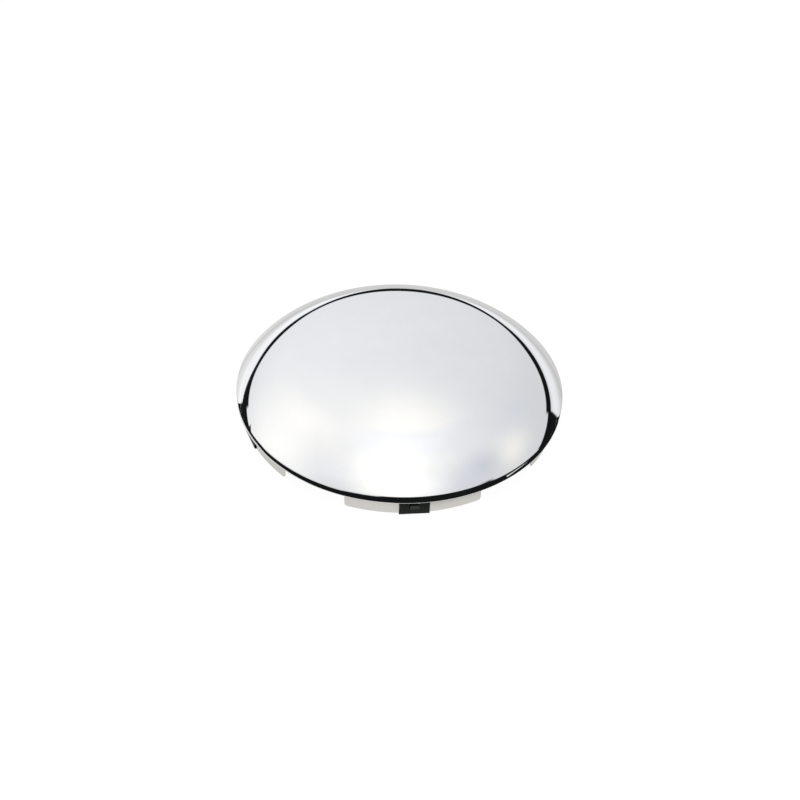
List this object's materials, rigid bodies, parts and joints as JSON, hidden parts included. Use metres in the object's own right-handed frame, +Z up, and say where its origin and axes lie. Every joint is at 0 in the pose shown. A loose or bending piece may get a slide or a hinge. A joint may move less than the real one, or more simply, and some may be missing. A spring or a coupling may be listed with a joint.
{
  "type": "wheel hub cover",
  "caption": "Domed chromed hub cover for a truck's front wheel, with a hemmed edge, a lip notched into tabs, and a black spring clip that grips the bore on each tab.",
  "frame": {"origin": "on the dome's axis, in the plane the spring clips stand on", "axes": "+Z up the axis through the crown of the dome; -Y through the middle of tab 1"},
  "size_m": [0.225, 0.225, 0.05],
  "materials": {
    "dome_chrome": "polished",
    "lip_plating": "satin",
    "clip_black": "satin"
  },
  "bodies": {
    "cover": {"dome_skin": "dome_chrome", "lip_ring": "lip_plating", "clip_1": "clip_black", "clip_2": "clip_black", "clip_3": "clip_black", "clip_4": "clip_black", "clip_5": "clip_black"},
    "tongue_1": {"clip_tongue_1": "clip_black"},
    "tongue_2": {"clip_tongue_2": "clip_black"},
    "tongue_3": {"clip_tongue_3": "clip_black"},
    "tongue_4": {"clip_tongue_4": "clip_black"},
    "tongue_5": {"clip_tongue_5": "clip_black"}
  },
  "joints": [
    {"name": "tongue_1_flex", "type": "hinge", "parent": "cover", "child": "tongue_1", "pos_m": [0, -0.10885, 0.0043], "axis": [-1, 0, 0], "range_deg": [0, 12], "stiffness_Nm_per_rad": 6.5},
    {"name": "tongue_2_flex", "type": "hinge", "parent": "cover", "child": "tongue_2", "pos_m": [0.10352, -0.03364, 0.0043], "axis": [-0.309, -0.9511, 0], "range_deg": [0, 12], "stiffness_Nm_per_rad": 6.5},
    {"name": "tongue_3_flex", "type": "hinge", "parent": "cover", "child": "tongue_3", "pos_m": [0.06398, 0.08806, 0.0043], "axis": [0.809, -0.5878, 0], "range_deg": [0, 12], "stiffness_Nm_per_rad": 6.5},
    {"name": "tongue_4_flex", "type": "hinge", "parent": "cover", "child": "tongue_4", "pos_m": [-0.06398, 0.08806, 0.0043], "axis": [0.809, 0.5878, 0], "range_deg": [0, 12], "stiffness_Nm_per_rad": 6.5},
    {"name": "tongue_5_flex", "type": "hinge", "parent": "cover", "child": "tongue_5", "pos_m": [-0.10352, -0.03364, 0.0043], "axis": [-0.309, 0.9511, 0], "range_deg": [0, 12], "stiffness_Nm_per_rad": 6.5}
  ]
}
